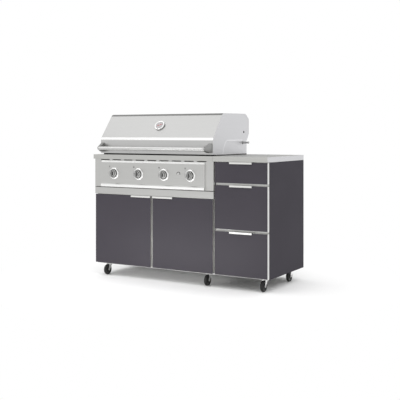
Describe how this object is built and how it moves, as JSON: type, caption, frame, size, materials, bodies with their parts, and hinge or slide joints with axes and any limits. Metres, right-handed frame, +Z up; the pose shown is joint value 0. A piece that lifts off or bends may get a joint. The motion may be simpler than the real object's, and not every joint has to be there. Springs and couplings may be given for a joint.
{
  "type": "outdoor kitchen island",
  "caption": "Long outdoor kitchen island: a hooded gas grill over a cabinet with doors, beside a drawer cabinet with a flat worktop, rolling on swivel casters.",
  "frame": {"origin": "centre of the bounding box's bottom face, on the ground between the casters", "axes": "+X to the right along the front as the cook faces it, +Y to the back, +Z up"},
  "size_m": [1.4486, 0.654, 1.203],
  "materials": {
    "brushed_steel": "brushed",
    "polished_steel": "polished",
    "chrome_wire": "polished",
    "side_paint": "fine satin powder coat",
    "slate_paint": "satin powder coat",
    "aluminium_trim": "satin",
    "galvanised_steel": "galvanised",
    "cast_iron": "matt enamel",
    "brass": "as turned",
    "wheel_rubber": "matt"
  },
  "bodies": {
    "island": {"grill_cabinet_back": "brushed_steel", "grill_cabinet_base_frame": "brushed_steel", "drawer_cabinet_back": "brushed_steel", "drawer_cabinet_base_frame": "brushed_steel", "worktop": "brushed_steel", "firebox": "brushed_steel", "burner_set": "brushed_steel", "control_panel": "brushed_steel", "flame_tamer_1": "brushed_steel", "flame_tamer_2": "brushed_steel", "flame_tamer_3": "brushed_steel", "flame_tamer_4": "brushed_steel", "grill_cabinet_left_wall": "side_paint", "grill_cabinet_right_wall": "side_paint", "drawer_cabinet_left_wall": "side_paint", "drawer_cabinet_right_wall": "side_paint", "warming_rack": "chrome_wire", "cooking_grate_1": "cast_iron", "cooking_grate_2": "cast_iron", "cooking_grate_3": "cast_iron", "gas_manifold": "brass"},
    "hood": {"hood": "brushed_steel", "hood_handle": "polished_steel", "thermometer": "polished_steel"},
    "left_door": {"left_door": "slate_paint", "left_door_pull": "aluminium_trim"},
    "right_door": {"right_door": "slate_paint", "right_door_pull": "aluminium_trim"},
    "top_drawer": {"top_drawer_front": "slate_paint", "top_drawer_box": "galvanised_steel", "top_drawer_pull": "aluminium_trim"},
    "middle_drawer": {"middle_drawer_front": "slate_paint", "middle_drawer_box": "galvanised_steel", "middle_drawer_pull": "aluminium_trim"},
    "bottom_drawer": {"bottom_drawer_front": "slate_paint", "bottom_drawer_box": "galvanised_steel", "bottom_drawer_pull": "aluminium_trim"},
    "drip_tray": {"drip_tray": "brushed_steel"},
    "valve_stem_1": {"valve_stem_1": "brass"},
    "knob_1": {"knob_1": "polished_steel"},
    "valve_stem_2": {"valve_stem_2": "brass"},
    "knob_2": {"knob_2": "polished_steel"},
    "valve_stem_3": {"valve_stem_3": "brass"},
    "knob_3": {"knob_3": "polished_steel"},
    "valve_stem_4": {"valve_stem_4": "brass"},
    "knob_4": {"knob_4": "polished_steel"},
    "light_button": {"light_button": "polished_steel"},
    "left_front_caster_fork": {"left_front_caster_fork": "galvanised_steel"},
    "left_front_caster_wheel": {"left_front_caster_wheel": "wheel_rubber"},
    "left_rear_caster_fork": {"left_rear_caster_fork": "galvanised_steel"},
    "left_rear_caster_wheel": {"left_rear_caster_wheel": "wheel_rubber"},
    "middle_front_caster_fork": {"middle_front_caster_fork": "galvanised_steel"},
    "middle_front_caster_wheel": {"middle_front_caster_wheel": "wheel_rubber"},
    "middle_rear_caster_fork": {"middle_rear_caster_fork": "galvanised_steel"},
    "middle_rear_caster_wheel": {"middle_rear_caster_wheel": "wheel_rubber"},
    "right_front_caster_fork": {"right_front_caster_fork": "galvanised_steel"},
    "right_front_caster_wheel": {"right_front_caster_wheel": "wheel_rubber"},
    "right_rear_caster_fork": {"right_rear_caster_fork": "galvanised_steel"},
    "right_rear_caster_wheel": {"right_rear_caster_wheel": "wheel_rubber"}
  },
  "joints": [
    {"name": "hood_hinge", "type": "hinge", "parent": "island", "child": "hood", "pos_m": [0, 0.216, 0.989], "axis": [-1, 0, 0], "range_deg": [0, 85]},
    {"name": "left_door_hinge", "type": "hinge", "parent": "island", "child": "left_door", "pos_m": [-0.68969, -0.2683, 0], "axis": [0, 0, -1], "range_deg": [0, 90]},
    {"name": "right_door_hinge", "type": "hinge", "parent": "island", "child": "right_door", "pos_m": [0.30206, -0.2683, 0], "axis": [0, 0, 1], "range_deg": [0, 90]},
    {"name": "top_drawer_slide", "type": "slide", "parent": "island", "child": "top_drawer", "axis": [0, -1, 0], "range_m": [0, 0.39]},
    {"name": "middle_drawer_slide", "type": "slide", "parent": "island", "child": "middle_drawer", "axis": [0, -1, 0], "range_m": [0, 0.39]},
    {"name": "bottom_drawer_slide", "type": "slide", "parent": "island", "child": "bottom_drawer", "axis": [0, -1, 0], "range_m": [0, 0.39]},
    {"name": "drip_tray_slide", "type": "slide", "parent": "island", "child": "drip_tray", "axis": [0, -1, 0], "range_m": [0, 0.35]},
    {"name": "valve_1_turn", "type": "hinge", "parent": "island", "child": "valve_stem_1", "pos_m": [-0.52201, -0.281, 0.7625], "axis": [0, -1, 0], "range_deg": [0, 270]},
    {"name": "knob_1_push", "type": "slide", "parent": "valve_stem_1", "child": "knob_1", "axis": [0, 1, 0], "range_m": [0, 0.003], "stiffness_N_per_m": 4000},
    {"name": "valve_2_turn", "type": "hinge", "parent": "island", "child": "valve_stem_2", "pos_m": [-0.30321, -0.281, 0.7625], "axis": [0, -1, 0], "range_deg": [0, 270]},
    {"name": "knob_2_push", "type": "slide", "parent": "valve_stem_2", "child": "knob_2", "axis": [0, 1, 0], "range_m": [0, 0.003], "stiffness_N_per_m": 4000},
    {"name": "valve_3_turn", "type": "hinge", "parent": "island", "child": "valve_stem_3", "pos_m": [-0.08441, -0.281, 0.7625], "axis": [0, -1, 0], "range_deg": [0, 270]},
    {"name": "knob_3_push", "type": "slide", "parent": "valve_stem_3", "child": "knob_3", "axis": [0, 1, 0], "range_m": [0, 0.003], "stiffness_N_per_m": 4000},
    {"name": "valve_4_turn", "type": "hinge", "parent": "island", "child": "valve_stem_4", "pos_m": [0.13439, -0.281, 0.7625], "axis": [0, -1, 0], "range_deg": [0, 270]},
    {"name": "knob_4_push", "type": "slide", "parent": "valve_stem_4", "child": "knob_4", "axis": [0, 1, 0], "range_m": [0, 0.003], "stiffness_N_per_m": 4000},
    {"name": "light_button_push", "type": "slide", "parent": "island", "child": "light_button", "axis": [0, 1, 0], "range_m": [0, 0.0025], "stiffness_N_per_m": 1200},
    {"name": "left_front_caster_swivel", "type": "hinge", "parent": "island", "child": "left_front_caster_fork", "pos_m": [-0.62169, -0.206, 0], "axis": [0, 0, 1], "continuous": true},
    {"name": "left_front_caster_roll", "type": "hinge", "parent": "left_front_caster_fork", "child": "left_front_caster_wheel", "pos_m": [-0.62169, -0.234, 0.0375], "axis": [1, 0, 0], "continuous": true},
    {"name": "left_rear_caster_swivel", "type": "hinge", "parent": "island", "child": "left_rear_caster_fork", "pos_m": [-0.62169, 0.214, 0], "axis": [0, 0, 1], "continuous": true},
    {"name": "left_rear_caster_roll", "type": "hinge", "parent": "left_rear_caster_fork", "child": "left_rear_caster_wheel", "pos_m": [-0.62169, 0.186, 0.0375], "axis": [1, 0, 0], "continuous": true},
    {"name": "middle_front_caster_swivel", "type": "hinge", "parent": "island", "child": "middle_front_caster_fork", "pos_m": [0.24231, -0.206, 0], "axis": [0, 0, 1], "continuous": true},
    {"name": "middle_front_caster_roll", "type": "hinge", "parent": "middle_front_caster_fork", "child": "middle_front_caster_wheel", "pos_m": [0.24231, -0.234, 0.0375], "axis": [1, 0, 0], "continuous": true},
    {"name": "middle_rear_caster_swivel", "type": "hinge", "parent": "island", "child": "middle_rear_caster_fork", "pos_m": [0.24231, 0.214, 0], "axis": [0, 0, 1], "continuous": true},
    {"name": "middle_rear_caster_roll", "type": "hinge", "parent": "middle_rear_caster_fork", "child": "middle_rear_caster_wheel", "pos_m": [0.24231, 0.186, 0.0375], "axis": [1, 0, 0], "continuous": true},
    {"name": "right_front_caster_swivel", "type": "hinge", "parent": "island", "child": "right_front_caster_fork", "pos_m": [0.67231, -0.206, 0], "axis": [0, 0, 1], "continuous": true},
    {"name": "right_front_caster_roll", "type": "hinge", "parent": "right_front_caster_fork", "child": "right_front_caster_wheel", "pos_m": [0.67231, -0.234, 0.0375], "axis": [1, 0, 0], "continuous": true},
    {"name": "right_rear_caster_swivel", "type": "hinge", "parent": "island", "child": "right_rear_caster_fork", "pos_m": [0.67231, 0.214, 0], "axis": [0, 0, 1], "continuous": true},
    {"name": "right_rear_caster_roll", "type": "hinge", "parent": "right_rear_caster_fork", "child": "right_rear_caster_wheel", "pos_m": [0.67231, 0.186, 0.0375], "axis": [1, 0, 0], "continuous": true}
  ]
}
